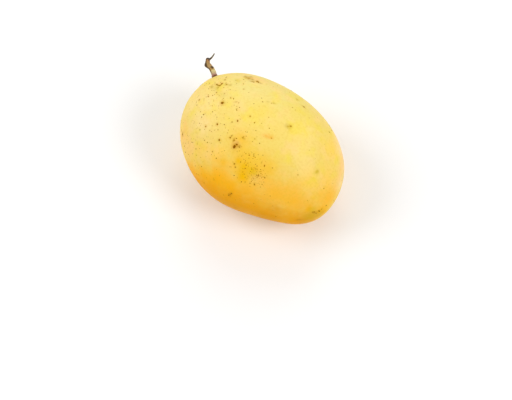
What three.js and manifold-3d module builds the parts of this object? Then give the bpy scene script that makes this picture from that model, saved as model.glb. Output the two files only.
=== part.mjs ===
// A ripe yellow mango lying on one broad cheek, with the dry stalk left at its stem end.
// Millimetres, +Z up. The origin is the middle of the small flat spot that the fruit rests on.
// +X runs from the stem end to the apex, and +Y toward the convex back of the fruit.

import * as THREE from 'three';
import { ParametricGeometry } from 'three/addons/geometries/ParametricGeometry.js';
import { mergeVertices } from 'three/addons/utils/BufferGeometryUtils.js';
import Module from 'manifold-3d';

const wasm = await Module();
wasm.setup();

// Fruit. Its outline in the plane of the stone is an ellipse that is turned a little, with a few
// gentle bulges. Polar angles are in degrees, counter-clockwise, with the back of the fruit at 90.
const LENGTH = 99.5; // of the ellipse, as is the width
const WIDTH = 74;
const OUTLINE_TURN = 5.5;
const APEX_ANGLE = -12;
const STEM_ANGLE = 164;
const BULGES = [ // polar angle, height, and sharpness: the higher, the narrower
  [-14, 2, 40], // the blunt beak at the apex
  [45, 0.6, 10], // the back, fuller towards the apex
  [150, 1.6, 20], // the shoulder beside the stalk
  [250, 1.5, 8], // the belly on the front
  [308, -1.8, 18], // the slight hollow between belly and beak
];
const THICKNESS_RATIO = 0.83; // thickness over width, half way along
const STEM_END_FULLNESS = 0.08; // share by which that ratio grows to the stem end and shrinks to the apex
const APEX_ROUNDING = 0.35; // share by which the last stretch before the apex is thicker again
const APEX_SHARPNESS = 6; // the higher, the shorter that stretch
const STEM_END_LIFT = 4; // height of the stem end over the plane of the stone
const STEM_END_REACH = 0.45; // share of the fruit's length over which the lift fades

// How it lies: the stem end and the back edge are raised, and its weight has flattened one spot.
const REST_PITCH = 6; // degrees
const REST_ROLL = 12; // degrees
const FLAT_SPOT_DEPTH = 0.7;

// Stalk. Its direction out of the fruit and the shallow dimple that it stands in.
const STALK_DIRECTION = [-0.87, 0.45, 0.19];
const DIMPLE_DEPTH = 0.8;
const DIMPLE_RADIUS = 4.5;
const GAP = 0.3; // clearance between the stalk and the floor of the dimple

// Centre line of the stalk from its foot, and [distance along it, radius] pairs.
const STALK_PATH = [
  [0, 0, 0], [-3.5, 2, 0.8], [-5, 2.7, 1.3], [-6.9, 3.2, 1.8], [-8.8, 3.3, 2.4], [-9.9, 4.3, 3.1],
  [-11.2, 5.9, 4.3],
];
const STALK_PROFILE = [
  [0, 1.45], [0.6, 1.5], [1.6, 1.4], [3, 1.35], [5.5, 1.35], [7, 1.5], [8, 1.4],
  [9.5, 1.65], [10.8, 1.4], [12, 1.2], [13.2, 1.1], [13.9, 0.75], [14.2, 0],
];
const TWIG_PATH = [[-10.5, 5.4, 3.9], [-9.9, 6.3, 4], [-9.7, 8, 4.4], [-9.8, 9.6, 4.7]];
const TWIG_RADIUS = 0.35;

// Fineness of the meshes
const FRUIT_SIDES = 48;
const FRUIT_RINGS = 60;
const STALK_SIDES = 14;
const STALK_FRAMES = 120;
const TWIG_SIDES = 6;
const TWIG_STEPS = 8;
const OUTLINE_SPACING = 8; // degrees between the points that the outline is drawn through
const OUTLINE_STEPS = 2880;
const FLAT_TOLERANCE = 0.001;

const radians = THREE.MathUtils.degToRad;
const toVector = (point) => new THREE.Vector3(...point);
const toCurve = (points) => new THREE.CatmullRomCurve3(points.map(toVector));

// ---- Solids ----

// Joins the seams of a geometry and drops the empty triangles at its poles.
function weld(geometry) {
  geometry.deleteAttribute('normal');
  geometry.deleteAttribute('uv');
  const welded = mergeVertices(geometry);
  const corners = welded.index.array;
  const kept = [];
  for (let i = 0; i < corners.length; i += 3) {
    const [a, b, c] = corners.slice(i, i + 3);
    if (a !== b && b !== c && c !== a) kept.push(a, b, c);
  }
  welded.setIndex(kept);
  return welded;
}

function toSolid(geometry) {
  const welded = weld(geometry);
  return new wasm.Manifold(new wasm.Mesh({
    numProp: 3,
    vertProperties: Float32Array.from(welded.attributes.position.array),
    triVerts: Uint32Array.from(welded.index.array),
  }));
}

function toGeometry(solid) {
  const { vertProperties, triVerts } = solid.getMesh();
  const geometry = new THREE.BufferGeometry();
  geometry.setAttribute('position', new THREE.BufferAttribute(vertProperties, 3));
  geometry.setIndex(new THREE.BufferAttribute(triVerts, 1));
  geometry.computeVertexNormals();
  return geometry;
}

// ---- Fruit ----

// The point of the outline at a polar angle: the turned ellipse with its bulges.
function outlinePoint(angle) {
  const turn = radians(angle - OUTLINE_TURN);
  const ellipse = 1 / Math.hypot(2 * Math.cos(turn) / LENGTH, 2 * Math.sin(turn) / WIDTH);
  const bulges = BULGES.map(([place, height, sharpness]) => (
    height * ((1 + Math.cos(radians(angle - place))) / 2) ** sharpness
  ));
  const radius = bulges.reduce((sum, bulge) => sum + bulge, ellipse);
  return new THREE.Vector3(radius * Math.cos(radians(angle)), radius * Math.sin(radians(angle)), 0);
}

const outlinePoints = [];
for (let angle = APEX_ANGLE; angle < APEX_ANGLE + 360; angle += OUTLINE_SPACING) {
  outlinePoints.push(outlinePoint(angle));
}
const outline = new THREE.CatmullRomCurve3(outlinePoints, true);
outline.arcLengthDivisions = OUTLINE_STEPS;
const lengths = outline.getLengths();
const stemEnd = lengths[(STEM_ANGLE - APEX_ANGLE) / 360 * OUTLINE_STEPS] / lengths[OUTLINE_STEPS];
const restingTurn = new THREE.Euler(radians(REST_ROLL), radians(REST_PITCH), 0, 'YXZ');
const stalkDirection = toVector(STALK_DIRECTION).normalize();

// A point of the skin without its dimple: each section is an ellipse on the chord between
// the back edge and the front edge, from the stem end (along = 0) to the apex (along = 1).
function plainSkin(around, along) {
  const share = (1 - Math.cos(Math.PI * along)) / 2;
  const back = outline.getPointAt(THREE.MathUtils.lerp(stemEnd, 0, share));
  const front = outline.getPointAt(THREE.MathUtils.lerp(stemEnd, 1, share));
  const turn = 2 * Math.PI * (around % 1);
  const fullness = 1 + STEM_END_FULLNESS * Math.cos(Math.PI * share)
    + APEX_ROUNDING * share ** APEX_SHARPNESS;
  const halfThickness = back.distanceTo(front) / 2 * THICKNESS_RATIO * fullness;
  const lift = STEM_END_LIFT * Math.max(0, 1 - share / STEM_END_REACH) ** 2;
  const point = new THREE.Vector3().lerpVectors(front, back, (1 + Math.cos(turn)) / 2);
  point.z = halfThickness * Math.sin(turn) + lift;
  return point.applyEuler(restingTurn);
}

const stemPole = plainSkin(0, 0);

function skin(around, along, target) {
  target.copy(plainSkin(around, along));
  const reach = target.distanceTo(stemPole) / DIMPLE_RADIUS;
  target.addScaledVector(stalkDirection, -DIMPLE_DEPTH * Math.exp(-reach * reach));
}

// The box whose top face flattens the lowest part of the skin.
function groundUnder(geometry) {
  geometry.computeBoundingBox();
  const { min, max } = geometry.boundingBox;
  const width = max.x - min.x;
  const ground = new THREE.BoxGeometry(2 * width, 2 * width, width);
  return ground.translate(0, 0, min.z + FLAT_SPOT_DEPTH - width / 2);
}

function fruitGeometry() {
  const whole = new ParametricGeometry(skin, FRUIT_SIDES, FRUIT_RINGS);
  return toGeometry(toSolid(whole).subtract(toSolid(groundUnder(whole))));
}

// Middle of the flat spot: the box around all points on the lowest plane.
function flatSpotCentre(geometry) {
  geometry.computeBoundingBox();
  const lowest = geometry.boundingBox.min.z;
  const position = geometry.attributes.position;
  const spot = new THREE.Box3();
  for (let i = 0; i < position.count; i += 1) {
    const point = new THREE.Vector3().fromBufferAttribute(position, i);
    if (point.z < lowest + FLAT_TOLERANCE) spot.expandByPoint(point);
  }
  return spot.getCenter(new THREE.Vector3()).setZ(lowest);
}

// ---- Stalk ----

// Bends a body that stands along +Y so that its axis follows the curve.
function bend(geometry, curve) {
  const frames = curve.computeFrenetFrames(STALK_FRAMES);
  const length = curve.getLength();
  const position = geometry.attributes.position;
  for (let i = 0; i < position.count; i += 1) {
    const share = THREE.MathUtils.clamp(position.getY(i) / length, 0, 1);
    const frame = Math.round(share * STALK_FRAMES);
    const point = curve.getPointAt(share);
    point.addScaledVector(frames.binormals[frame], position.getX(i));
    point.addScaledVector(frames.normals[frame], position.getZ(i));
    position.setXYZ(i, point.x, point.y, point.z);
  }
  return geometry;
}

function stalkBody() {
  const curve = toCurve(STALK_PATH);
  const stretch = curve.getLength() / STALK_PROFILE.at(-1)[0];
  const outer = STALK_PROFILE.map(([distance, radius]) => new THREE.Vector2(radius, distance * stretch));
  const profile = [new THREE.Vector2(0, 0), ...outer];
  return toSolid(bend(new THREE.LatheGeometry(profile, STALK_SIDES), curve));
}

function twigBody() {
  const section = new THREE.Shape().setFromPoints(
    new THREE.Path().absarc(0, 0, TWIG_RADIUS, 0, 2 * Math.PI).getSpacedPoints(TWIG_SIDES).slice(0, -1),
  );
  return toSolid(new THREE.ExtrudeGeometry(section, {
    steps: TWIG_STEPS,
    extrudePath: toCurve(TWIG_PATH),
    bevelEnabled: false,
  }));
}

// ---- The mango ----

function addNode(group, name, geometry, finish) {
  const mesh = new THREE.Mesh(geometry, new THREE.MeshStandardMaterial(finish));
  mesh.name = name;
  group.add(mesh);
  return mesh;
}

const mango = new THREE.Group();
const fruit = fruitGeometry();
addNode(mango, 'fruit', fruit, { color: 0xf6cf52, roughness: 0.45, metalness: 0 });
const stalk = addNode(mango, 'stalk', toGeometry(stalkBody().add(twigBody())), {
  color: 0x8a6a3c, roughness: 0.85, metalness: 0,
});
stalk.position.copy(stemPole).addScaledVector(stalkDirection, GAP - DIMPLE_DEPTH);
mango.position.copy(flatSpotCentre(fruit)).negate();

export default mango;
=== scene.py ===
"""The looks of a ripe yellow mango with its dry stalk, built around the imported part. Metres, +Z up."""

import math

import bpy
import numpy as np
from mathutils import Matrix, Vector, noise

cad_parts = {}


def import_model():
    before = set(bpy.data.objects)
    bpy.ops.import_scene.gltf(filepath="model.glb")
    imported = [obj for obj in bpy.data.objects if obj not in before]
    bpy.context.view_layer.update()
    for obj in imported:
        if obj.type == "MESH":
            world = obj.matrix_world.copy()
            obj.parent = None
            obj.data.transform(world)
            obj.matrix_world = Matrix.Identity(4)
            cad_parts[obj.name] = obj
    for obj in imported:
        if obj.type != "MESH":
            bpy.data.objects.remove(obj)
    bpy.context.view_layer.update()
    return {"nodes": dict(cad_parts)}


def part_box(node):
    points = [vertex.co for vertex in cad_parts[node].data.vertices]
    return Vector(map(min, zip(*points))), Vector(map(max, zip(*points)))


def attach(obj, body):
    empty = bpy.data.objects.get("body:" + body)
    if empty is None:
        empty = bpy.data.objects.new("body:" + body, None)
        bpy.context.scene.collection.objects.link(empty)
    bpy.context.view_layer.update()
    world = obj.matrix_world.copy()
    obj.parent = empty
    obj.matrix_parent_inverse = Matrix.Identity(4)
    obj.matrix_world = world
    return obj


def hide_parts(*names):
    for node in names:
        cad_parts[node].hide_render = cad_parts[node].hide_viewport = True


MM = 0.001
RANDOM = np.random.default_rng(11)

# Camera, in metres and degrees: the point that it stands around, its direction and distance from
# there, and how far to the left of that point and below it the camera aims. Azimuth 0 looks along +Y.
CAMERA_PIVOT = (0, 0, 0.033)
CAMERA_AZIMUTH = 41
CAMERA_ELEVATION = 66
CAMERA_DISTANCE = 0.85
CAMERA_LENS = 106.2
AIM_LEFT = 0.0023
AIM_DOWN = 0.027

# Floor and light, in metres and watts
FLOOR_REACH = 6.0
FLOOR_SURFACE = {"Base Color": (0.93, 0.93, 0.93, 1), "Roughness": 0.8}
SKY_STRENGTH = 0.515
LIGHT_TARGET = (0, 0, 0.03)
SOFTBOXES = [  # name, place, diameter and power
    ("left_softbox", (-0.75, -0.62, 0.95), 1.0, 7.1),
    ("back_softbox", (-0.65, 0.95, 0.96), 1.2, 5.6),
    ("right_softbox", (0.9, 0.27, 1.0), 0.7, 7.1),
]

# From here on, sizes and places on the fruit are in millimetres, in the part's own frame, and turns
# are in degrees from +X towards +Y.

# The skin's shape
SKIN_QUADS = 126            # along each edge of the cube that the skin's grid comes from
SKIN_DEGREE = 13            # fineness of the smooth surface laid through the solid's corners
FLAT_SPOT_DEPTH = 1.0       # the solid's corners below this height are left out of that surface,
DIMPLE_REACH = 9            # and so are those nearer than this to the stalk's foot
LUMPS = [(17, 0.16, 17), (6, 0.04, 6), (2.4, 0.012, 2.4)]  # size, height and seed of the unevenness

# A low swelling of the skin beside the stalk
SHOULDER = (-45, 9.5, 49.5)
SHOULDER_RADIUS = 7
SHOULDER_HEIGHT = 0.6

# The hollow around the stalk, with its low collar and the small folds that run out from it
DIMPLE_DEPTH = 0.4
DIMPLE_RADIUS = 4.5
COLLAR_HEIGHT = 0.3
COLLAR_RADIUS = 2.3
COLLAR_WIDTH = 0.7
FOLDS = 9
FOLD_HEIGHT = 0.09
FOLD_REACH = 2.6

# The scar of the flower at the far end: a low nub with a pit
APEX_SCAR = (47.9, -6.0, 35.4)
NUB_RADIUS = 3.2
NUB_HEIGHT = 0.4
PIT_RADIUS = 0.9
PIT_DEPTH = 0.25

# Broad colours of the skin, painted one over another: name, screen colour, share, and soft round
# spots as places and radii. The gold zones lie over the mottling, the pale ones under it.
GROUND_COLOUR = (239, 211, 110)
PALE_ZONES = [
    # Pale skin on top, made paler still there as a painted highlight of the light from above
    ("pale_cap_and_highlight", (235, 217, 136), 0.9, [((-22, 16, 60), 17), ((0, 25, 58), 14), ((-34, 30, 24), 14)]),
    # Cream skin near the stalk end, with a painted sheen along the rim there
    ("cream_shoulder_and_sheen", (247, 219, 144), 0.9, [
        ((-37, -9, 55), 11), ((-28, -17, 56), 8), ((-33, -6, 60), 6), ((-52, 12, 22), 12),
        ((4, 38, 32), 11),
    ]),
    # Peach-coloured skin on one side, with a painted pinkish sheen along its rim
    ("peach_side_and_sheen", (252, 207, 122), 0.9, [
        ((-36, -25, 42), 8), ((-26, -28, 46), 7), ((-40, -18, 22), 14),
    ]),
    # A painted highlight: a pale oval on the cheek
    ("pale_cheek_highlight", (247, 218, 132), 0.9, [((25, 6, 59), 7), ((18, 17, 60), 7), ((32, 1, 55), 5)]),
    ("warm_side", (255, 209, 96), 0.8, [
        ((43, 6, 46), 9), ((38, -3, 51), 6), ((34, 22, 49), 7), ((30, 33, 24), 12), ((-17, -26, 52), 6),
        ((-10, -24, 56), 5),
    ]),
]
GOLD_ZONES = [
    ("warm_wash", (250, 195, 74), 0.7, [((-32, -30, 14), 13), ((-24, -34, 20), 9), ((34, 22, 8), 18)]),
    ("honey", (243, 192, 52), 0.8, [
        ((-4, -12, 63), 6), ((3, -19, 59), 7), ((8, -17, 59), 6), ((16, -14, 58), 8),
        ((-48, 24, 34), 9), ((-14, 38, 20), 13), ((-4.6, -25.2, 54.8), 2.8),
    ]),
    ("apricot", (253, 187, 50), 0.9, [
        ((-2, -29, 49), 8), ((14, -26, 48), 9), ((27, -19, 48), 10), ((37, -14, 45), 9),
        ((48, 2, 38), 8), ((14, 36, 14), 14), ((-50, -8, 14), 12), ((-10, -28, 8), 26),
        ((30, -10, 6), 22),
    ]),
    ("saffron", (255, 184, 18), 0.9, [
        ((-20, -35, 36), 5), ((-11, -34, 41), 6), ((-3, -32, 44), 6), ((5, -31, 45), 6),
        ((48, -5, 35), 4), ((50, -3, 31), 3), ((8.5, -24.5, 52.5), 2.6), ((44, -10, 38.5), 3.4),
    ]),
    # Deep gold skin on the lower flank, darkened there as painted shade where the flank turns down
    ("gold_flank_and_shade", (245, 167, 0), 1.0, [
        ((-15, -38, 30), 6), ((-8, -38, 33.5), 5), ((-2, -37, 36), 8), ((8, -36, 36), 9),
        ((18, -32, 35), 9), ((28, -28, 32), 9), ((41, -19, 29), 9), ((-15, -38, 20), 14),
        ((10, -36, 18), 18), ((36, -24, 18), 16), ((40, 4, 4), 16),
    ]),
    # Painted shade: a darker amber along the bottom edge of the fruit
    ("amber_base_shade", (228, 152, 0), 0.8, [
        ((47, -13, 30), 7), ((32, -24, 40), 4), ((28, -29, 26), 10), ((10, -37, 30), 8),
        ((-2, -38, 28), 8), ((-14, -38, 24), 8),
    ]),
    ("lemon_crown", (238, 211, 78), 0.5, [((-6, 8, 66), 6), ((6, 24, 59), 8)]),
    ("olive_end", (212, 168, 20), 0.7, [((46, -10, 33), 5), ((49, -6, 32), 3.5)]),
    # A painted pinkish sheen along the rim
    ("blush_rim_sheen", (254, 216, 152), 0.9, [
        ((42, 22, 38), 5), ((46, 14, 36), 4), ((36, 28, 40), 5), ((30, 33, 40), 5),
    ]),
    ("gold_patch", (242, 186, 0), 0.85, [
        ((8.2, -23.6, 53.6), 4), ((11, -20, 56.4), 3), ((6, -20.5, 57), 2.6), ((2, -20.5, 58.3), 1.8),
    ]),
    ("rosy_patch", (242, 192, 104), 0.5, [((14, -21, 54.4), 2.6)]),
]
ZONE_RAGGEDNESS = [(7, 0.7, 2.0), (2.6, 0.5, 4.0)]  # size, height and seed of the noise in their edges

# Fine mottling: size, detail, the noise values where it starts and is full, share, and colour. The
# first list lies between the pale and the gold zones, the second over everything.
MOTTLING = [(9, 2.0, 0.5, 0.72, 0.5, (240, 216, 58)), (7, 2.0, 0.5, 0.75, 0.45, (250, 212, 140))]
SPECKLING = [(1.3, 2.0, 0.45, 0.75, 0.22, (220, 176, 44))]

# Pores: faint dots at some of the points of a loose grid
PORE_COLOUR = (206, 168, 40)
PORE_SHARE = 0.35
PORE_SPACING = 1.7
PORE_RADIUS = 0.2
PORES_KEPT = 0.5            # share of the grid's points

# The skin's surface
SKIN_ROUGHNESS = (0.38, 0.5)
SKIN_ROUGHNESS_SIZE = 2
SKIN_BUMP = (0.5, 3.0, 0.02)  # size, detail and height of the finest grain
SKIN_SURFACE = {
    "Specular IOR Level": 0.03,
    "Specular Tint": (1, 0.84, 0.42, 1),
    "Subsurface Weight": 0.1,
    "Subsurface Radius": (1.0, 0.6, 0.2),
    "Subsurface Scale": 1.2 * MM,
}

# Marks in the skin, by kind: screen colour and share, and each mark's place, half length, half
# width and turn
MARKS = {
    "olive": ((190, 154, 40), 0.85, [
        ((-38.9, 3.4, 58), 0.9, 1.4, 60), ((-35.4, 4.5, 60.1), 1.4, 0.4, 131),
        ((-20.6, 2.7, 64.9), 1.1, 0.5, 50), ((-4.7, 16.4, 63.5), 1.1, 0.5, 38),
        ((-7.5, 14.6, 63.6), 0.8, 0.5, 38), ((6.4, 28.4, 55.7), 1.5, 0.6, 10),
        ((0.8, 29.8, 54.8), 1.1, 0.6, 10), ((-3.3, -10.2, 63.7), 1.1, 0.6, 0),
        ((10.2, 11.2, 63.4), 1.6, 1.3, 38), ((36.4, 5.2, 51.9), 0.7, 1.1, 0),
        ((-26.2, -1.7, 63.4), 1.2, 1.0, 60), ((-32.9, 8.9, 60.8), 1.2, 0.7, 38),
        ((-36.3, 11.4, 58.4), 0.6, 0.9, 38), ((-30.9, 9.8, 61.4), 0.9, 0.7, 38),
        ((-4.2, -13.7, 62.4), 0.9, 0.8, 0),
    ]),
    "shade": ((208, 182, 92), 0.5, [
        ((-35.6, 4.2, 60), 3.4, 2.6, 131), ((-29.6, 2, 62.4), 2.6, 1.8, 30),
    ]),
    "green": ((216, 186, 20), 0.5, [
        ((-30, 14.9, 60.2), 1.7, 2.3, 60), ((45, -8.5, 38), 2.2, 1.7, 30),
        ((36.4, 5.2, 51.9), 1.5, 1.7, 0), ((12, -19.5, 56.4), 2.8, 2.4, 0),
    ]),
    # Pinkish spots; the two longest, on opposite rims, are a painted pinkish sheen
    "pink_and_rim_sheen": ((252, 198, 122), 0.7, [
        ((-24.5, 23.5, 56.8), 5.0, 2.2, 34), ((-4.8, -15, 61.8), 2.6, 2.0, 60),
        ((-36, -21, 46), 6, 3, 110), ((41, 21, 40), 11, 3.4, 125), ((-37, 8, 58.8), 1.3, 1.0, 45),
    ]),
    "amber": ((238, 170, 48), 0.65, [
        ((7.8, -0.4, 64.3), 1.6, 0.9, 38), ((5.8, -1, 64.8), 3.0, 1.3, 34),
    ]),
    "rust": ((200, 124, 0), 0.8, [((6.6, -32.9, 40.6), 0.8, 1.5, 0), ((42.5, -15.9, 31.3), 1.8, 0.9, 40)]),
    "scuff": ((184, 134, 30), 1.0, [
        ((-29.4, 20.9, 57), 1.1, 1.5, 34), ((-27.2, 20.7, 58.2), 1.5, 1.5, 34),
        ((-27.4, 23, 56.3), 1.1, 1.1, 34), ((-25.1, 21.6, 58.2), 0.9, 0.9, 34),
        ((-24.1, 19.9, 59.6), 1.0, 0.8, 34), ((-23.3, 20.4, 59.5), 0.8, 0.8, 34),
        ((-20, 22.3, 59.1), 1.1, 0.5, 34), ((-36.9, -23.9, 42.8), 0.8, 1.6, 20),
        ((-6.9, -14, 62.3), 0.7, 1.3, 20), ((-2.4, -14.7, 61.8), 0.8, 0.8, 0),
        ((-4.4, -15.7, 61.4), 1.5, 1.3, 60), ((47, -7.6, 34.8), 1.1, 0.9, 30),
    ]),
}
MARK_GRAIN = 0.9            # size of the noise that breaks up their edges

# The bruised skin around the larger corky spots
HALO_COLOUR = (208, 148, 14)
HALO_SHARE = 0.6
HALO_REACH = 1.8            # times the spot's radius

# A small split in the skin by the stalk, as the corners of its line
SPLIT = [(-37.9, 6.2, 58.5), (-36.6, 6, 59.3), (-35.7, 6.3, 59.8), (-35.5, 7.2, 59.8), (-35.6, 8.2, 59.6)]
SPLIT_WIDTH = 0.6
SPLIT_DEPTH = 0.15
SPLIT_COLOUR = (158, 114, 24)
SPLIT_SHARE = 0.8
SPLIT_EDGE = (0.4, 0.8)     # values of its mask where the colour starts and is full

# Corky spots: the larger ones as places and radii, and the density of the fine ones per square
# centimetre, in soft round patches of a place and a radius
SCABS = [
    ((-26.2, -1.9, 63.4), 0.74), ((-20.3, -12.7, 61.6), 0.5), ((-13.7, -18.4, 59.7), 0.54),
    ((-4.5, -16.4, 61.1), 0.85), ((-4.2, -14.8, 61.8), 0.55), ((-9.4, -14.2, 62.2), 0.46),
    ((-9.4, -13.1, 62.6), 0.3), ((-6.8, -14, 62.3), 0.3), ((-22, 22.2, 58.7), 0.7),
    ((-21, 22, 59.1), 0.42), ((-12.2, -5, 64.9), 0.44), ((-14.2, -7.3, 64.3), 0.3),
    ((-36, -2.7, 59.3), 0.36), ((-24.5, 3.1, 64.1), 0.32), ((-3.8, -10.2, 63.7), 0.26),
    ((-39.4, -6.4, 56), 0.4), ((-8.6, 1.2, 65.9), 0.34), ((11, 12.4, 63), 0.38),
    ((8.2, -0.4, 64.2), 0.24), ((-36.9, -23.9, 42.8), 0.48), ((-25.2, -16.8, 58.3), 0.4),
    ((-13.3, -24.6, 55.2), 0.28), ((0.9, -22.5, 56.5), 0.36), ((2.3, -23.4, 55.6), 0.32),
    ((15, -18.7, 55.2), 0.36), ((15.7, -22.8, 51.3), 0.38), ((7.1, -32.3, 41.9), 0.44),
    ((6.1, -33.5, 39.5), 0.42), ((30.5, -3.9, 54.5), 0.22), ((48.3, -5.7, 34.6), 0.42),
    ((48.5, -4.2, 35.2), 0.32), ((46.7, -8.4, 35.9), 0.42), ((48.9, -0.9, 34.9), 0.32),
    ((-32.9, 8.9, 60.8), 0.28), ((6.7, 28.6, 55.5), 0.42), ((-37.8, 6.1, 58.6), 0.48),
    ((-35.7, 6.3, 59.8), 0.5), ((-35.6, 8.2, 59.6), 0.5), ((-23, 12.2, 63.2), 0.28),
    ((-33.6, 1.5, 61), 0.3), ((-36.3, 11.4, 58.4), 0.28), ((-29.3, 3.3, 62.7), 0.2),
    ((47.9, -6, 35.1), 0.36), ((46.2, -9.2, 36.2), 0.3), ((1, 29, 55.4), 0.26),
    ((5.7, 22.3, 60.2), 0.17), ((46.2, -8.8, 35.2), 0.3), ((47.5, -7.6, 33.9), 0.26),
]
SQUARE_CENTIMETRE = 100
SPECK_GROUND = 0.7          # density outside the patches
SPECK_PATCHES = [
    ((-27, -9, 60), 16, 13), ((-32, -26, 44), 12, 11), ((-14, -20, 58), 10, 6), ((-36, 4, 58), 10, 12),
    ((14.5, -19.5, 55), 4.5, 130), ((5, -18, 59.5), 7, 36), ((-8, 0, 66), 14, 5),
    ((-14, -32, 44), 10, 9), ((-22, 30, 14), 22, 12), ((10, -28, 12), 20, 8), ((30, 22, 20), 18, 6),
    ((-30, -2, 8), 20, 8),
]
SPECK_RADIUS = 0.21         # in the middle of the fruit
SPECK_TAPER = 0.0022        # share by which it falls with each millimetre towards the far end
SPECK_SPREAD = 0.34         # of the logarithm of the radius
SPECK_RANGE = (0.13, 0.44)
SPECK_GAP = 0.7
SPECK_JITTER = 0.2
SPECK_SIDES = 9
SPECK_TONES = (0.3, 1.3)    # 0 is the dark cork, and 1 and above the light
SCAB_SIDES = 14
SCAB_TONES = (0.1, 0.5)
CORK_DARK = (134, 80, 0)
CORK_ON_PALE = (186, 142, 6)
CORK_ON_GOLD = (204, 132, 0)
CORK_SPECKLING = [(0.25, 2.0, 0.4, 0.7, 0.3, (146, 92, 10))]
CORK_BUMP = (0.12, 2.0, 0.02)
CORK_SURFACE = {"Roughness": 0.75, "Specular IOR Level": 0.02}

# The shape of a corky spot, a flat dome with a ragged rim
DOME_HEIGHT = 0.3           # share of the radius
DOME_PEAK = (0.6, 1.1)      # shares of the height
DOME_SHOULDER = (0.6, 0.75)  # shares of the reach and of the height
DOME_STRETCH = (1, 1.6)
DOME_RAGGEDNESS = 0.22
DOME_ROOT = 0.1             # how deep in the skin the middle of its underside lies
DOME_RIM = 0.02             # and its rim

# The stalk: its centre line from the foot, [distance along it, radius] pairs, and the dead side twig
STALK_PATH = [
    (1.3, -1.1, -0.4), (-0.2, -0.2, 0), (-3.7, 1.8, 0.8), (-5.2, 2.4, 1.3), (-7, 2.8, 1.7),
    (-8.8, 2.8, 2.3), (-9.8, 3.9, 2.9), (-10.9, 5.5, 4.1),
]
STALK_PROFILE = [
    (0, 1.6), (1.9, 1.98), (2.4, 2.02), (3.2, 1.8), (4.6, 1.54), (7.0, 1.45), (8.3, 1.52), (9.4, 1.42),
    (10.6, 1.55), (11.6, 1.5), (12.6, 1.3), (13.8, 1.24), (14.9, 1.2), (15.6, 0.95), (16, 0.4),
]
PATH_STEPS = 40             # between two corners of a centre line
STALK_RINGS = 150
STALK_SIDES = 48
COARSE_STEP = 3             # every third ring is enough to tell where along the stalk a point is
FOOT_BAND = 0.3             # depth of the stalk's solid that counts as its foot
TWIG_PATH = [(-10.3, 4.8, 3.5), (-9.6, 5.8, 3.8), (-9.4, 7.5, 4.2), (-9.7, 9.7, 4.8)]
TWIG_PROFILE = [(0, 0.72), (1, 0.6), (2.2, 0.48), (4.2, 0.38), (4.8, 0.24)]
TWIG_RINGS = 60
TWIG_SIDES = 16

# The wood's grain: long ridges and a few rings across. Once around the stem is a circle through the
# noise, and a millimetre along it is a shorter way, so that the ridges run along.
GRAIN_HEIGHT = 0.1          # share of the radius
GRAIN_CIRCLE = 2.2
GRAIN_STRETCH = 0.55
GRAIN_RIDGES = [(0.8, 1, 0.0), (0.4, 0.6, 5.0)]     # size, height and seed
GRAIN_RINGS = [(0.5, 0.25, 9.0)]
WOOD_VOXEL = 0.085
WOOD_SMOOTHING = 0.5
WOOD_SMOOTHING_ROUNDS = 3

# Knots and scars of the wood: offset from the foot, radius, height, and share of dark bark
KNOTS = [
    ((-5.5, 3, 2.9), 1.0, 0.5, 1.2), ((-9.4, 1.5, 2.3), 1.3, 0.5, 1.5),
    ((-7.6, 1.4, 1.5), 1.1, 0.1, 0.9), ((-8, 4.3, 3.1), 0.7, 0.2, 0.2),
    ((-9.2, 4.7, 4.2), 0.7, 0.1, 1.0),
]

# Colours of the wood as shares of the stalk's length, from the foot
WOOD_COLOURS = [
    (0.0, (92, 56, 30)), (0.19, (88, 54, 34)), (0.225, (150, 100, 80)), (0.29, (186, 150, 134)),
    (0.35, (206, 184, 140)), (0.44, (214, 202, 146)), (0.5, (176, 138, 72)), (0.6, (182, 148, 98)),
    (0.8, (164, 134, 84)), (0.9, (180, 132, 84)), (0.96, (88, 74, 62)), (1.0, (54, 50, 46)),
]
COLOUR_WAVER = 0.025
COLOUR_WAVER_SIZE = 1.4
TWIG_COLOUR = (112, 98, 74)
TWIG_FADE = (1.5, 0.6)      # distance from the stalk's line where its colour starts, and the fade
TWIG_REACH = 1              # how far from its own line the twig's colour reaches
WOOD_SPECKLING = [(0.5, 4.0, 0.5, 0.7, 0.5, (96, 66, 34)), (0.9, 3.0, 0.6, 0.8, 0.4, (222, 206, 170))]
WOOD_ROUGHNESS = (0.65, 0.9)
WOOD_ROUGHNESS_SIZE = 0.7
WOOD_BUMP = (0.16, 3.0, 0.05)
WOOD_SURFACE = {"Specular IOR Level": 0.25}

# The dark bark, which is laid on together with painted shade along one side of the stalk
BARK_COLOUR = (70, 50, 28)
BARK_SHARE = 0.92
BARK_EDGE = (0.35, 0.75)    # values of its mask where the colour starts and is full
BARK_WAVER = 0.2
BARK_WAVER_SIZE = 0.6
# Painted shade, with dark bark, along the stalk's side that faces the camera's left: its share, that
# side's direction, and where it fades in
BARK_AND_SHADE_ON_SIDE = 0.75
SHADED_SIDE = (-0.76, -0.64, 0)
SHADED_SIDE_FADE = (0.25, 0.4)  # cosine of the angle to that side where it starts, and the fade
BARK_FOOT_FADE = (0.25, 1 / 6)  # share of the stalk's length where it starts, and the fade

# ---- General helpers ----


def linear(red, green, blue):
    """The linear colour of an 8-bit screen colour."""
    def channel(value):
        share = value / 255
        return share / 12.92 if share <= 0.04045 else ((share + 0.055) / 1.055) ** 2.4
    return (channel(red), channel(green), channel(blue), 1.0)


def make_object(name, points, faces):
    """A new smooth-shaded object in the scene."""
    mesh = bpy.data.meshes.new(name)
    mesh.from_pydata(points.tolist(), [], faces if isinstance(faces, list) else faces.tolist())
    mesh.shade_smooth()
    piece = bpy.data.objects.new(name, mesh)
    bpy.context.scene.collection.objects.link(piece)
    return piece


def add_attribute(piece, name, values):
    """Stores a value for each point of a piece, for its material."""
    layer = piece.data.attributes.new(name, "FLOAT", "POINT")
    layer.data.foreach_set("value", np.ascontiguousarray(values, dtype=np.float32))


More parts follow.
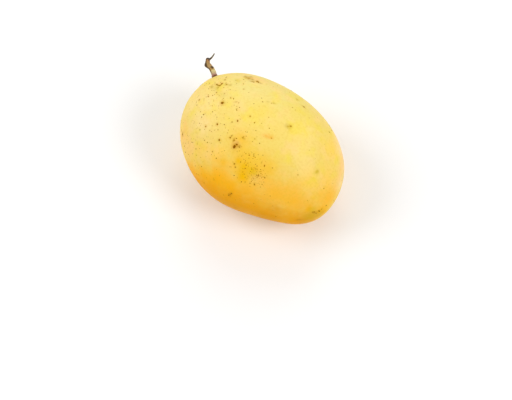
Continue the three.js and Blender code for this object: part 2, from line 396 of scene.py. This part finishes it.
def unit(vectors):
    """The vectors at length 1."""
    return vectors / np.linalg.norm(vectors, axis=-1, keepdims=True)


def noise_field(points, size, seed):
    """Smooth noise from -1 to 1 whose lumps are about one size across."""
    offset = Vector((seed, 3.7 * seed, -1.9 * seed))
    return np.array([noise.noise(Vector(point) + offset) for point in points / size])


def layered_noise(points, layers):
    """The sum of noise fields, each given by its size, height and seed."""
    return sum(height * noise_field(points, size, seed) for size, height, seed in layers)


def fade(values, start, width):
    """0 up to the start, then rising to 1 over the width."""
    return np.clip((values - start) / width, 0, 1)


def bell(distance, radius):
    """1 at no distance, falling smoothly towards 0 past the radius."""
    return np.exp(-(distance / radius) ** 2)


def blob(points, place, radius):
    """1 at a place, fading to 0 over a radius."""
    return bell(np.linalg.norm(points - np.array(place), axis=1), radius)


def union(masks):
    """One mask that is high wherever any of the masks is."""
    return 1 - np.prod([1 - mask for mask in masks], axis=0)


def line_distance(points, corners):
    """How far each point is from the line through the corners."""
    corners = np.array(corners, dtype=float)
    nearest = np.full(len(points), np.inf)
    for start, end in zip(corners[:-1], corners[1:]):
        step = end - start
        share = np.clip((points - start) @ step / (step @ step), 0, 1)
        gap = np.linalg.norm(points - start - share[:, None] * step, axis=1)
        nearest = np.minimum(nearest, gap)
    return nearest


# ---- Shader helpers ----


def add_node(tree, kind, inputs=None, **settings):
    """Adds a shader node. Each input is a value, or the socket that feeds it."""
    made = tree.nodes.new(kind)
    for key, value in settings.items():
        setattr(made, key, value)
    for key, value in (inputs or {}).items():
        if isinstance(value, bpy.types.NodeSocket):
            tree.links.new(value, made.inputs[key])
        else:
            made.inputs[key].default_value = value
    return made


def attribute(tree, name):
    """The value that each point of the piece has under a name."""
    return add_node(tree, "ShaderNodeAttribute", attribute_name=name).outputs["Fac"]


def mix(tree, share, first, second):
    """The colour first, changed to second by a share."""
    made = add_node(tree, "ShaderNodeMix", {0: share, 6: first, 7: second}, data_type="RGBA")
    return made.outputs[2]


def math_node(tree, operation, first, second):
    made = add_node(tree, "ShaderNodeMath", {0: first, 1: second}, operation=operation)
    return made.outputs[0]


def times(tree, first, second):
    return math_node(tree, "MULTIPLY", first, second)


def map_range(tree, value, low, high, to_low=0.0, to_high=1.0):
    """The value taken from the range low to high to the range to_low to to_high."""
    made = add_node(tree, "ShaderNodeMapRange", {
        "Value": value, "From Min": low, "From Max": high, "To Min": to_low, "To Max": to_high,
    })
    return made.outputs[0]


def speckle(tree, size, low, high, detail=2.0, to_low=0.0, to_high=1.0):
    """Noise over the object's own coordinates: to_low where it is below low, to_high above high."""
    place = add_node(tree, "ShaderNodeTexCoord").outputs["Object"]
    texture = add_node(tree, "ShaderNodeTexNoise", {"Vector": place, "Scale": 1 / size, "Detail": detail})
    return map_range(tree, texture.outputs["Fac"], low, high, to_low, to_high)


def wander(tree, size, low, high):
    """Noise that wanders between two values and often reaches them."""
    return speckle(tree, size, 0.3, 0.7, to_low=low, to_high=high)


def mix_speckles(tree, colour, layers):
    """The colour with layers of mottling on it, each as in MOTTLING."""
    for size, detail, low, high, share, tint in layers:
        spots = speckle(tree, size * MM, low, high, detail, to_high=share)
        colour = mix(tree, spots, colour, linear(*tint))
    return colour


def pores(tree, spacing, radius, share):
    """Round dots: 1 inside, 0 outside, at a share of the points of a loose grid."""
    place = add_node(tree, "ShaderNodeTexCoord").outputs["Object"]
    cells = add_node(tree, "ShaderNodeTexVoronoi", {"Vector": place, "Scale": 1 / spacing})
    dot = map_range(tree, cells.outputs["Distance"], radius / spacing, 0.5 * radius / spacing)
    tone = add_node(tree, "ShaderNodeSeparateColor", {"Color": cells.outputs["Color"]}).outputs[0]
    return times(tree, dot, map_range(tree, tone, share, share - 0.1))


def add_bump(tree, shader, size, detail, height):
    """Gives a shader a fine grain of a size and height in millimetres."""
    grain = speckle(tree, size * MM, 0.2, 0.8, detail)
    made = add_node(tree, "ShaderNodeBump", {"Height": grain, "Distance": height * MM})
    tree.links.new(made.outputs[0], shader.inputs["Normal"])


def new_material(name, surface):
    """A new material, its node tree and its shader, which gets the surface's fixed values."""
    material = bpy.data.materials.new(name)
    material.use_nodes = True
    tree = material.node_tree
    shader = tree.nodes["Principled BSDF"]
    for key, value in surface.items():
        shader.inputs[key].default_value = value
    return material, tree, shader


# ---- The skin's shape ----


def grid_sphere(quads):
    """Directions and outward faces of a cube of quads by quads faces a side, blown up to a sphere."""
    steps = np.tan(np.linspace(-1, 1, quads + 1) * math.pi / 4)
    first, second = np.meshgrid(steps, steps, indexing="ij")
    sides = []
    for axis in range(3):
        for sign in (-1, 1):
            side = np.stack([np.full_like(first, sign), first, sign * second], axis=-1)
            sides.append(np.roll(side, axis, axis=-1).reshape(-1, 3))
    keys = np.round(np.concatenate(sides) * 1e6).astype(np.int64)
    corners, index = np.unique(keys, axis=0, return_inverse=True)
    index = index.reshape(6, quads + 1, quads + 1)
    faces = np.stack([index[:, :-1, :-1], index[:, 1:, :-1], index[:, 1:, 1:], index[:, :-1, 1:]], axis=-1)
    return unit(corners.astype(float)), faces.reshape(-1, 4)


def sphere_terms(directions, degree):
    """Every product of powers of x, y and z that a smooth function on the sphere needs, one at a time."""
    powers = [directions.T ** power for power in range(degree + 1)]
    for total in (degree - 1, degree):
        for i in range(total + 1):
            for j in range(total - i + 1):
                yield powers[i][0] * powers[j][1] * powers[total - i - j][2]


def smooth_skin(fruit, foot):
    """Points and faces of one smooth surface through the corners of the fruit's faceted solid."""
    low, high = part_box("fruit")
    middle = np.array((low + high) / 2) / MM
    corners = np.array([corner.co for corner in fruit.data.vertices]) / MM
    off_spot = corners[:, 2] > FLAT_SPOT_DEPTH
    off_dimple = np.linalg.norm(corners - foot, axis=1) > DIMPLE_REACH
    arms = corners[off_spot & off_dimple] - middle
    reach = np.linalg.norm(arms, axis=1)
    terms = np.stack(list(sphere_terms(unit(arms), SKIN_DEGREE)), axis=1)
    weights = np.linalg.lstsq(terms, reach, rcond=None)[0]
    directions, faces = grid_sphere(SKIN_QUADS)
    reach = sum(weight * term for weight, term in zip(weights, sphere_terms(directions, SKIN_DEGREE)))
    return middle + directions * reach[:, None], faces


def vertex_normals(points, faces):
    """The direction away from the surface at each point of a mesh of four-sided faces."""
    across = points[faces[:, 2]] - points[faces[:, 0]]
    along = points[faces[:, 3]] - points[faces[:, 1]]
    face_normals = np.cross(across, along)
    normals = np.zeros_like(points)
    for corner in range(4):
        for axis in range(3):
            normals[:, axis] += np.bincount(faces[:, corner], face_normals[:, axis], len(points))
    return unit(normals)


def side_axes(direction):
    """Two directions at right angles to a direction and to each other."""
    first = unit(np.cross(direction, (0, 0, 1)))
    return first, np.cross(direction, first)


def stem_relief(points, foot, direction):
    """Height of the skin around the stalk: a shallow hollow, a low collar, and folds out from it."""
    arms = points - foot
    gap = np.linalg.norm(arms, axis=1)
    first, second = side_axes(direction)
    angle = np.arctan2(arms @ second, arms @ first)
    unevenness = 2 * np.sin(2 * angle)
    waves = np.cos(FOLDS * angle + unevenness)
    folds = FOLD_HEIGHT * waves * bell(gap - 2 * COLLAR_RADIUS, FOLD_REACH)
    collar = COLLAR_HEIGHT * bell(gap - COLLAR_RADIUS, COLLAR_WIDTH)
    return folds + collar - DIMPLE_DEPTH * bell(gap, DIMPLE_RADIUS)


def skin_relief(points, foot, direction):
    """How far each point of the skin stands out from the smooth surface."""
    relief = layered_noise(points, LUMPS)
    relief += stem_relief(points, foot, direction)
    relief += SHOULDER_HEIGHT * blob(points, SHOULDER, SHOULDER_RADIUS)
    relief += NUB_HEIGHT * blob(points, APEX_SCAR, NUB_RADIUS)
    relief -= PIT_DEPTH * blob(points, APEX_SCAR, PIT_RADIUS)
    relief -= SPLIT_DEPTH * bell(line_distance(points, SPLIT), SPLIT_WIDTH)
    return relief


# ---- The skin's colours ----


def mark(points, normals, place, length, width, turn):
    """1 on a spot of the skin, fading to 0 over its half length and half width."""
    offset = points - np.array(place)
    upright = normals[np.argmin(np.linalg.norm(offset, axis=1))]
    angle = math.radians(turn)
    along = np.array((math.cos(angle), math.sin(angle), 0))
    along = unit(along - upright * (along @ upright))
    across = np.cross(upright, along)
    depth = offset @ upright / (length + width)
    return np.exp(-(offset @ along / length) ** 2 - (offset @ across / width) ** 2 - depth ** 2)


def paint_skin(skin, points, normals):
    """Stores each colour zone and each kind of mark as a mask on the skin's points."""
    ragged = layered_noise(points, ZONE_RAGGEDNESS)
    for name, _, _, spots in PALE_ZONES + GOLD_ZONES:
        mask = union([blob(points, place, radius) for place, radius in spots])
        add_attribute(skin, name, np.clip(mask + mask * (1 - mask) * ragged, 0, 1))
    for name, (_, _, spots) in MARKS.items():
        add_attribute(skin, name, union([mark(points, normals, *spot) for spot in spots]))
    halos = [blob(points, place, HALO_REACH * radius) for place, radius in SCABS]
    add_attribute(skin, "halo", union(halos))
    add_attribute(skin, "split", bell(line_distance(points, SPLIT), SPLIT_WIDTH))


def mix_zones(tree, colour, zones):
    """The colour with soft zones on it, each as in PALE_ZONES."""
    for name, tint, share, _ in zones:
        colour = mix(tree, times(tree, attribute(tree, name), share), colour, linear(*tint))
    return colour


def skin_material():
    material, tree, shader = new_material("mango_skin", SKIN_SURFACE)
    colour = mix_zones(tree, linear(*GROUND_COLOUR), PALE_ZONES)
    colour = mix_speckles(tree, colour, MOTTLING)
    colour = mix_zones(tree, colour, GOLD_ZONES)
    for name, (tint, share, _) in MARKS.items():
        grain = speckle(tree, MARK_GRAIN * MM, 0.3, 0.6, to_low=0.4)
        spots = times(tree, times(tree, attribute(tree, name), grain), share)
        colour = mix(tree, spots, colour, linear(*tint))
    dots = times(tree, pores(tree, PORE_SPACING * MM, PORE_RADIUS * MM, PORES_KEPT), PORE_SHARE)
    colour = mix(tree, dots, colour, linear(*PORE_COLOUR))
    halo = times(tree, attribute(tree, "halo"), HALO_SHARE)
    colour = mix(tree, halo, colour, linear(*HALO_COLOUR))
    split = map_range(tree, attribute(tree, "split"), *SPLIT_EDGE, to_high=SPLIT_SHARE)
    colour = mix(tree, split, colour, linear(*SPLIT_COLOUR))
    colour = mix_speckles(tree, colour, SPECKLING)
    tree.links.new(colour, shader.inputs["Base Color"])
    roughness = wander(tree, SKIN_ROUGHNESS_SIZE * MM, *SKIN_ROUGHNESS)
    tree.links.new(roughness, shader.inputs["Roughness"])
    add_bump(tree, shader, *SKIN_BUMP)
    return material


def make_skin(fruit, foot, direction):
    """Makes the skin, and returns its points, normals and faces, in millimetres, for what sits on it."""
    points, faces = smooth_skin(fruit, foot)
    normals = vertex_normals(points, faces)
    points += normals * skin_relief(points, foot, direction)[:, None]
    points[:, 2] = np.maximum(points[:, 2], 0)
    normals = vertex_normals(points, faces)
    skin = make_object("skin", points * MM, faces)
    paint_skin(skin, points, normals)
    skin.data.materials.append(skin_material())
    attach(skin, "root")
    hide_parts("fruit")
    return points, normals, faces


# ---- Corky spots on the skin ----


def fine_speck_places(points, faces):
    """Places on the skin for the fine specks: random, dense in the patches, never too close together."""
    corners = points[faces]
    diagonals = corners[:, 2] - corners[:, 0], corners[:, 3] - corners[:, 1]
    areas = np.linalg.norm(np.cross(*diagonals), axis=1) / 2
    centres = corners.mean(axis=1)
    extra = sum(peak * blob(centres, place, radius) for place, radius, peak in SPECK_PATCHES)
    expected = (SPECK_GROUND + extra) * areas / SQUARE_CENTIMETRE
    chosen = np.nonzero(RANDOM.random(len(faces)) < expected)[0]
    places = []
    for face in RANDOM.permutation(chosen):
        place = centres[face] + RANDOM.uniform(-SPECK_JITTER, SPECK_JITTER, 3)
        on_floor = place[2] < FLAT_SPOT_DEPTH / 2
        if not on_floor and all(np.linalg.norm(place - other) > SPECK_GAP for other in places):
            places.append(place)
    return places


def cork_dome(place, upright, radius, sides):
    """Points and faces of one closed, flat, irregular dome that is set a little into the skin."""
    first, second = side_axes(upright)
    angles = np.arange(sides) * 2 * math.pi / sides + RANDOM.uniform(0, 1)
    stretch, turn = RANDOM.uniform(*DOME_STRETCH), RANDOM.uniform(0, math.pi)
    reach = radius * (1 + RANDOM.uniform(-DOME_RAGGEDNESS, DOME_RAGGEDNESS, sides))
    reach *= np.hypot(np.cos(angles - turn) * stretch, np.sin(angles - turn)) / math.sqrt(stretch)
    rim = np.outer(np.cos(angles), first) + np.outer(np.sin(angles), second)
    height = radius * DOME_HEIGHT
    shoulder_reach, shoulder_height = DOME_SHOULDER
    points = [place - upright * DOME_ROOT]
    points += list(place + rim * reach[:, None] - upright * DOME_RIM)
    points += list(place + shoulder_reach * rim * reach[:, None] + upright * shoulder_height * height)
    points.append(place + upright * height * RANDOM.uniform(*DOME_PEAK))
    faces = []
    for side in range(sides):
        after = (side + 1) % sides
        outer, outer_after = 1 + side, 1 + after
        inner, inner_after = outer + sides, outer_after + sides
        faces += [[0, outer_after, outer], [outer, outer_after, inner_after, inner]]
        faces.append([inner, inner_after, 2 * sides + 1])
    return points, faces


def cork_material():
    material, tree, shader = new_material("corky_specks", CORK_SURFACE)
    tone = attribute(tree, "tone")
    light = mix(tree, attribute(tree, "gold"), linear(*CORK_ON_PALE), linear(*CORK_ON_GOLD))
    colour = mix(tree, tone, linear(*CORK_DARK), light)
    colour = mix_speckles(tree, colour, CORK_SPECKLING)
    tree.links.new(colour, shader.inputs["Base Color"])
    add_bump(tree, shader, *CORK_BUMP)
    return material


def corky_spots(points, faces):
    """Place, radius, number of sides and tone of every corky spot, with the larger ones first."""
    spots = [(np.array(place), radius, SCAB_SIDES, RANDOM.uniform(*SCAB_TONES)) for place, radius in SCABS]
    for place in fine_speck_places(points, faces):
        if min(np.linalg.norm(place - scab[0]) for scab in spots[:len(SCABS)]) < SPECK_GAP:
            continue
        size = SPECK_RADIUS * math.exp(RANDOM.normal(0, SPECK_SPREAD)) * (1 - SPECK_TAPER * place[0])
        radius = float(np.clip(size, *SPECK_RANGE))
        spots.append((place, radius, SPECK_SIDES, RANDOM.uniform(*SPECK_TONES)))
    return spots


def make_specks(points, normals, faces):
    spots = corky_spots(points, faces)
    places = np.array([spot[0] for spot in spots])
    gold_spots = [spot for _, _, _, zone in GOLD_ZONES for spot in zone]
    on_gold = union([blob(places, place, radius) for place, radius in gold_spots])
    all_points, all_faces, tones, golds = [], [], [], []
    for (place, radius, sides, tone), gold in zip(spots, on_gold):
        nearest = np.argmin(np.linalg.norm(points - place, axis=1))
        upright = normals[nearest]
        place = place - upright * (upright @ (place - points[nearest]))
        dome, dome_faces = cork_dome(place, upright, radius, sides)
        first = len(all_points)
        all_faces += [[first + corner for corner in face] for face in dome_faces]
        all_points += dome
        tones += [tone] * len(dome)
        golds += [gold] * len(dome)
    specks = make_object("lenticels", np.array(all_points) * MM, all_faces)
    add_attribute(specks, "tone", tones)
    add_attribute(specks, "gold", golds)
    specks.data.materials.append(cork_material())
    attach(specks, "root")


# ---- The stalk ----


def stalk_foot(stalk):
    """The middle of the stalk's foot and the direction in which the stalk leaves it, from its solid."""
    corners = np.array([corner.co for corner in stalk.data.vertices]) / MM
    direction = unit(np.array(STALK_PATH[2]) - np.array(STALK_PATH[1]))
    height = corners @ direction
    return corners[height < height.min() + FOOT_BAND].mean(axis=0), direction


def smooth_path(corners, count):
    """Evenly spaced points on a smooth curve through the corners, and the curve's length."""
    corners = np.array(corners, dtype=float)
    padded = np.concatenate([2 * corners[:1] - corners[1:2], corners, 2 * corners[-1:] - corners[-2:-1]])
    steps = np.linspace(0, 1, PATH_STEPS, endpoint=False)[:, None]
    stretches = []
    for a, b, c, d in zip(padded[:-3], padded[1:-2], padded[2:-1], padded[3:]):
        bend = (2 * a - 5 * b + 4 * c - d) * steps ** 2 + (3 * b - a - 3 * c + d) * steps ** 3
        stretches.append(b + ((c - a) * steps + bend) / 2)
    dense = np.concatenate(stretches + [corners[-1:]])
    travelled = np.concatenate([[0], np.cumsum(np.linalg.norm(np.diff(dense, axis=0), axis=1))])
    wanted = np.linspace(0, travelled[-1], count)
    path = np.stack([np.interp(wanted, travelled, dense[:, axis]) for axis in range(3)], axis=1)
    return path, travelled[-1]


def tube(path, radii):
    """Points and faces of a closed tube along a path. Radii has a row for each point of the path."""
    rings, sides = radii.shape
    tangents = unit(np.gradient(path, axis=0))
    angles = np.arange(sides) * 2 * math.pi / sides
    first = side_axes(tangents[0])[0]
    points = []
    for centre, tangent, reach in zip(path, tangents, radii):
        first = unit(first - tangent * (first @ tangent))
        second = np.cross(tangent, first)
        spokes = np.outer(np.cos(angles), first) + np.outer(np.sin(angles), second)
        points += list(centre + reach[:, None] * spokes)
    faces = [list(range(sides))[::-1], list(range((rings - 1) * sides, rings * sides))]
    for ring in range(rings - 1):
        for side in range(sides):
            after = (side + 1) % sides
            low, high = ring * sides, (ring + 1) * sides
            faces.append([low + side, low + after, high + after, high + side])
    return np.array(points), faces


def grainy_radii(profile, length, rings, sides):
    """Radii of a stem whose surface has long ridges and a few rings across."""
    share = np.linspace(0, 1, rings)
    distances, radii = np.array(profile).T
    plain = np.interp(share * length, distances * length / distances[-1], radii)
    angles = np.arange(sides) * 2 * math.pi / sides
    lengthwise = share * length * GRAIN_STRETCH
    across = np.stack(np.meshgrid(GRAIN_CIRCLE * np.cos(angles), lengthwise), axis=-1)
    around = np.meshgrid(GRAIN_CIRCLE * np.sin(angles), share)[0]
    spots = np.concatenate([across, around[..., None]], axis=-1).reshape(-1, 3)
    ridges = layered_noise(spots, GRAIN_RIDGES).reshape(rings, sides)
    rings_across = layered_noise(np.stack([share * length] * 3, axis=1), GRAIN_RINGS)
    return plain[:, None] * (1 + GRAIN_HEIGHT * (ridges + rings_across[:, None]))


def apply_modifiers(piece):
    """Replaces a piece's mesh by what its modifiers make of it."""
    depsgraph = bpy.context.evaluated_depsgraph_get()
    mesh = bpy.data.meshes.new_from_object(piece.evaluated_get(depsgraph))
    piece.modifiers.clear()
    piece.data = mesh
    mesh.shade_smooth()


def joined_wood(foot, path, length):
    """The stalk and its twig, grown together in one closed mesh."""
    points, faces = tube(path, grainy_radii(STALK_PROFILE, length, STALK_RINGS, STALK_SIDES))
    for place, radius, height, _ in KNOTS:
        arms = points - np.array(place)
        centre = path[np.argmin(np.linalg.norm(path - np.array(place), axis=1))]
        outward = unit(np.array(place) - centre)
        points += height * bell(np.linalg.norm(arms, axis=1), radius)[:, None] * outward
    twig_path, twig_length = smooth_path(TWIG_PATH, TWIG_RINGS)
    twig_radii = grainy_radii(TWIG_PROFILE, twig_length, TWIG_RINGS, TWIG_SIDES)
    twig_points, twig_faces = tube(twig_path, twig_radii)
    faces += [[corner + len(points) for corner in face] for face in twig_faces]
    wood = make_object("stalk_wood", (np.concatenate([points, twig_points]) + foot) * MM, faces)
    remesh = wood.modifiers.new("join", "REMESH")
    remesh.mode = "VOXEL"
    remesh.voxel_size = WOOD_VOXEL * MM
    smooth = wood.modifiers.new("smooth", "SMOOTH")
    smooth.factor = WOOD_SMOOTHING
    smooth.iterations = WOOD_SMOOTHING_ROUNDS
    apply_modifiers(wood)
    return wood


def wood_material():
    material, tree, shader = new_material("dry_wood", WOOD_SURFACE)
    ramp = add_node(tree, "ShaderNodeValToRGB")
    waver = wander(tree, COLOUR_WAVER_SIZE * MM, -COLOUR_WAVER, COLOUR_WAVER)
    tree.links.new(math_node(tree, "ADD", attribute(tree, "along"), waver), ramp.inputs[0])
    stops = ramp.color_ramp.elements
    stops[1].position = WOOD_COLOURS[-1][0]
    for position, _ in WOOD_COLOURS[1:-1]:
        stops.new(position)
    for stop, (_, tint) in zip(stops, WOOD_COLOURS):
        stop.color = linear(*tint)
    colour = mix(tree, attribute(tree, "twig"), ramp.outputs["Color"], linear(*TWIG_COLOUR))
    colour = mix_speckles(tree, colour, WOOD_SPECKLING)
    # The dark bark of the knots, and painted shade with dark bark along one side of the stalk
    waver = wander(tree, BARK_WAVER_SIZE * MM, -BARK_WAVER, BARK_WAVER)
    bark_and_shade = math_node(tree, "ADD", attribute(tree, "bark_and_shade"), waver)
    colour = mix(tree, map_range(tree, bark_and_shade, *BARK_EDGE, to_high=BARK_SHARE), colour, linear(*BARK_COLOUR))
    tree.links.new(colour, shader.inputs["Base Color"])
    roughness = wander(tree, WOOD_ROUGHNESS_SIZE * MM, *WOOD_ROUGHNESS)
    tree.links.new(roughness, shader.inputs["Roughness"])
    add_bump(tree, shader, *WOOD_BUMP)
    return material


def paint_wood(wood, points, path):
    """Stores how far along the stalk each point is, and the masks of the twig and of the dark bark with
    the painted shade on one side.
    """
    gaps = np.linalg.norm(points[:, None] - path[None, ::COARSE_STEP], axis=2)
    nearest = np.argmin(gaps, axis=1) * COARSE_STEP
    add_attribute(wood, "along", nearest / (STALK_RINGS - 1))
    on_twig = line_distance(points, TWIG_PATH[1:]) < TWIG_REACH
    add_attribute(wood, "twig", fade(gaps.min(axis=1), *TWIG_FADE) * on_twig)
    outward = unit(points - path[nearest])
    # Painted shade with dark bark on the side that faces the camera's left, fading in away from the foot
    on_shaded_side = fade(outward @ unit(np.array(SHADED_SIDE)), *SHADED_SIDE_FADE)
    off_foot = fade(nearest / STALK_RINGS, *BARK_FOOT_FADE)
    knots = sum(share * blob(points, place, radius) for place, radius, _, share in KNOTS)
    add_attribute(wood, "bark_and_shade", np.clip(BARK_AND_SHADE_ON_SIDE * on_shaded_side * off_foot + knots, 0, 1))


def make_stalk(foot):
    path, length = smooth_path(STALK_PATH, STALK_RINGS)
    wood = joined_wood(foot, path, length)
    points = np.array([corner.co for corner in wood.data.vertices]) / MM - foot
    paint_wood(wood, points, path)
    wood.data.materials.append(wood_material())
    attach(wood, "root")
    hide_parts("stalk")


# ---- Camera, floor and light ----


def make_camera():
    azimuth = math.radians(CAMERA_AZIMUTH)
    elevation = math.radians(CAMERA_ELEVATION)
    right = Vector((math.cos(azimuth), math.sin(azimuth), 0))
    level = math.cos(elevation)
    back = Vector((math.sin(azimuth) * level, -math.cos(azimuth) * level, math.sin(elevation)))
    up = back.cross(right)
    pivot = Vector(CAMERA_PIVOT)
    data = bpy.data.cameras.new("camera")
    data.lens = CAMERA_LENS
    camera = bpy.data.objects.new("camera", data)
    camera.location = pivot + back * CAMERA_DISTANCE
    aim = pivot - right * AIM_LEFT - up * AIM_DOWN
    camera.rotation_euler = (aim - camera.location).to_track_quat("-Z", "Y").to_euler()
    bpy.context.scene.collection.objects.link(camera)
    bpy.context.scene.camera = camera


def make_floor():
    reach = FLOOR_REACH
    corners = np.array([[-reach, -reach, 0], [reach, -reach, 0], [reach, reach, 0], [-reach, reach, 0]])
    floor = make_object("floor", corners, [[0, 1, 2, 3]])
    floor.data.materials.append(new_material("white_floor", FLOOR_SURFACE)[0])


def add_softbox(name, place, diameter, power):
    data = bpy.data.lights.new(name, "AREA")
    data.shape = "DISK"
    data.size = diameter
    data.energy = power
    light = bpy.data.objects.new(name, data)
    light.location = place
    light.rotation_euler = (Vector(LIGHT_TARGET) - Vector(place)).to_track_quat("-Z", "Y").to_euler()
    bpy.context.scene.collection.objects.link(light)


def make_light():
    world = bpy.data.worlds.new("world")
    world.use_nodes = True
    background = world.node_tree.nodes["Background"]
    background.inputs["Color"].default_value = (1, 1, 1, 1)
    background.inputs["Strength"].default_value = SKY_STRENGTH
    bpy.context.scene.world = world
    for softbox in SOFTBOXES:
        add_softbox(*softbox)


def main():
    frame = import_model()
    bpy.context.scene.view_settings.view_transform = "Standard"
    make_camera()
    make_floor()
    make_light()
    foot, direction = stalk_foot(frame["nodes"]["stalk"])
    points, normals, faces = make_skin(frame["nodes"]["fruit"], foot, direction)
    make_specks(points, normals, faces)
    make_stalk(foot)


main()
